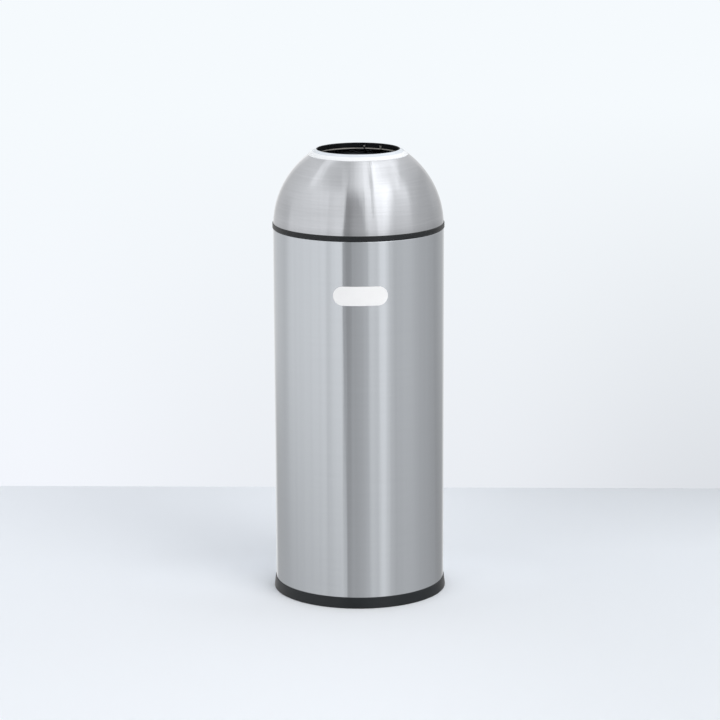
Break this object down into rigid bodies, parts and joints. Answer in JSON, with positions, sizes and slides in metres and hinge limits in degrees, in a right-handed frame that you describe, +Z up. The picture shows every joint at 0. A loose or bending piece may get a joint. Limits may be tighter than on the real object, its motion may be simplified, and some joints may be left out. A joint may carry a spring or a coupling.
{
  "type": "dome top waste receptacle",
  "caption": "Free-standing cylindrical waste bin with a lift-off dome, an open round mouth, a base ring and a lift-out liner with a swinging bail.",
  "frame": {"origin": "centre of the base ring's underside, on the floor", "axes": "+Z up along the tube's axis, -Y towards the front with the blank badge, +X to the right as seen from the front"},
  "size_m": [0.3068, 0.3068, 0.7911],
  "materials": {
    "brushed_steel": "brushed round the tube",
    "galvanised": "zinc spangle",
    "black_plastic": "fine satin",
    "white_plastic": "satin white",
    "trim_rubber": "smooth",
    "grip_plastic": "moulded",
    "wire": "zinc plated",
    "spring_steel": "bare",
    "fastener": "zinc plated"
  },
  "bodies": {
    "shell": {"body_shell": "brushed_steel", "floor_pan": "galvanised", "base_ring": "black_plastic", "base_ring_screws": "fastener", "front_badge": "white_plastic"},
    "liner": {"liner_wall": "galvanised", "liner_bottom": "galvanised", "liner_rim_wire": "wire", "liner_ears": "galvanised", "liner_rivets": "fastener"},
    "bail": {"bail_wire": "wire", "bail_grip": "grip_plastic"},
    "dome_top": {"dome_shell": "brushed_steel", "mouth_collar": "white_plastic", "opening_trim": "trim_rubber", "trim_joiner": "trim_rubber", "trim_hoop": "spring_steel", "dome_seat_ring": "black_plastic", "dome_brackets": "galvanised", "seat_ring_screws": "fastener"}
  },
  "joints": [
    {"name": "liner_lift", "type": "slide", "parent": "shell", "child": "liner", "axis": [0, 0, 1], "range_m": [0, 0.65]},
    {"name": "dome_lift", "type": "slide", "parent": "liner", "child": "dome_top", "axis": [0, 0, 1], "range_m": [0, 0.25]},
    {"name": "bail_swing", "type": "hinge", "parent": "liner", "child": "bail", "pos_m": [0, 0, 0.6001], "axis": [1, 0, 0], "range_deg": [0, 218]}
  ]
}
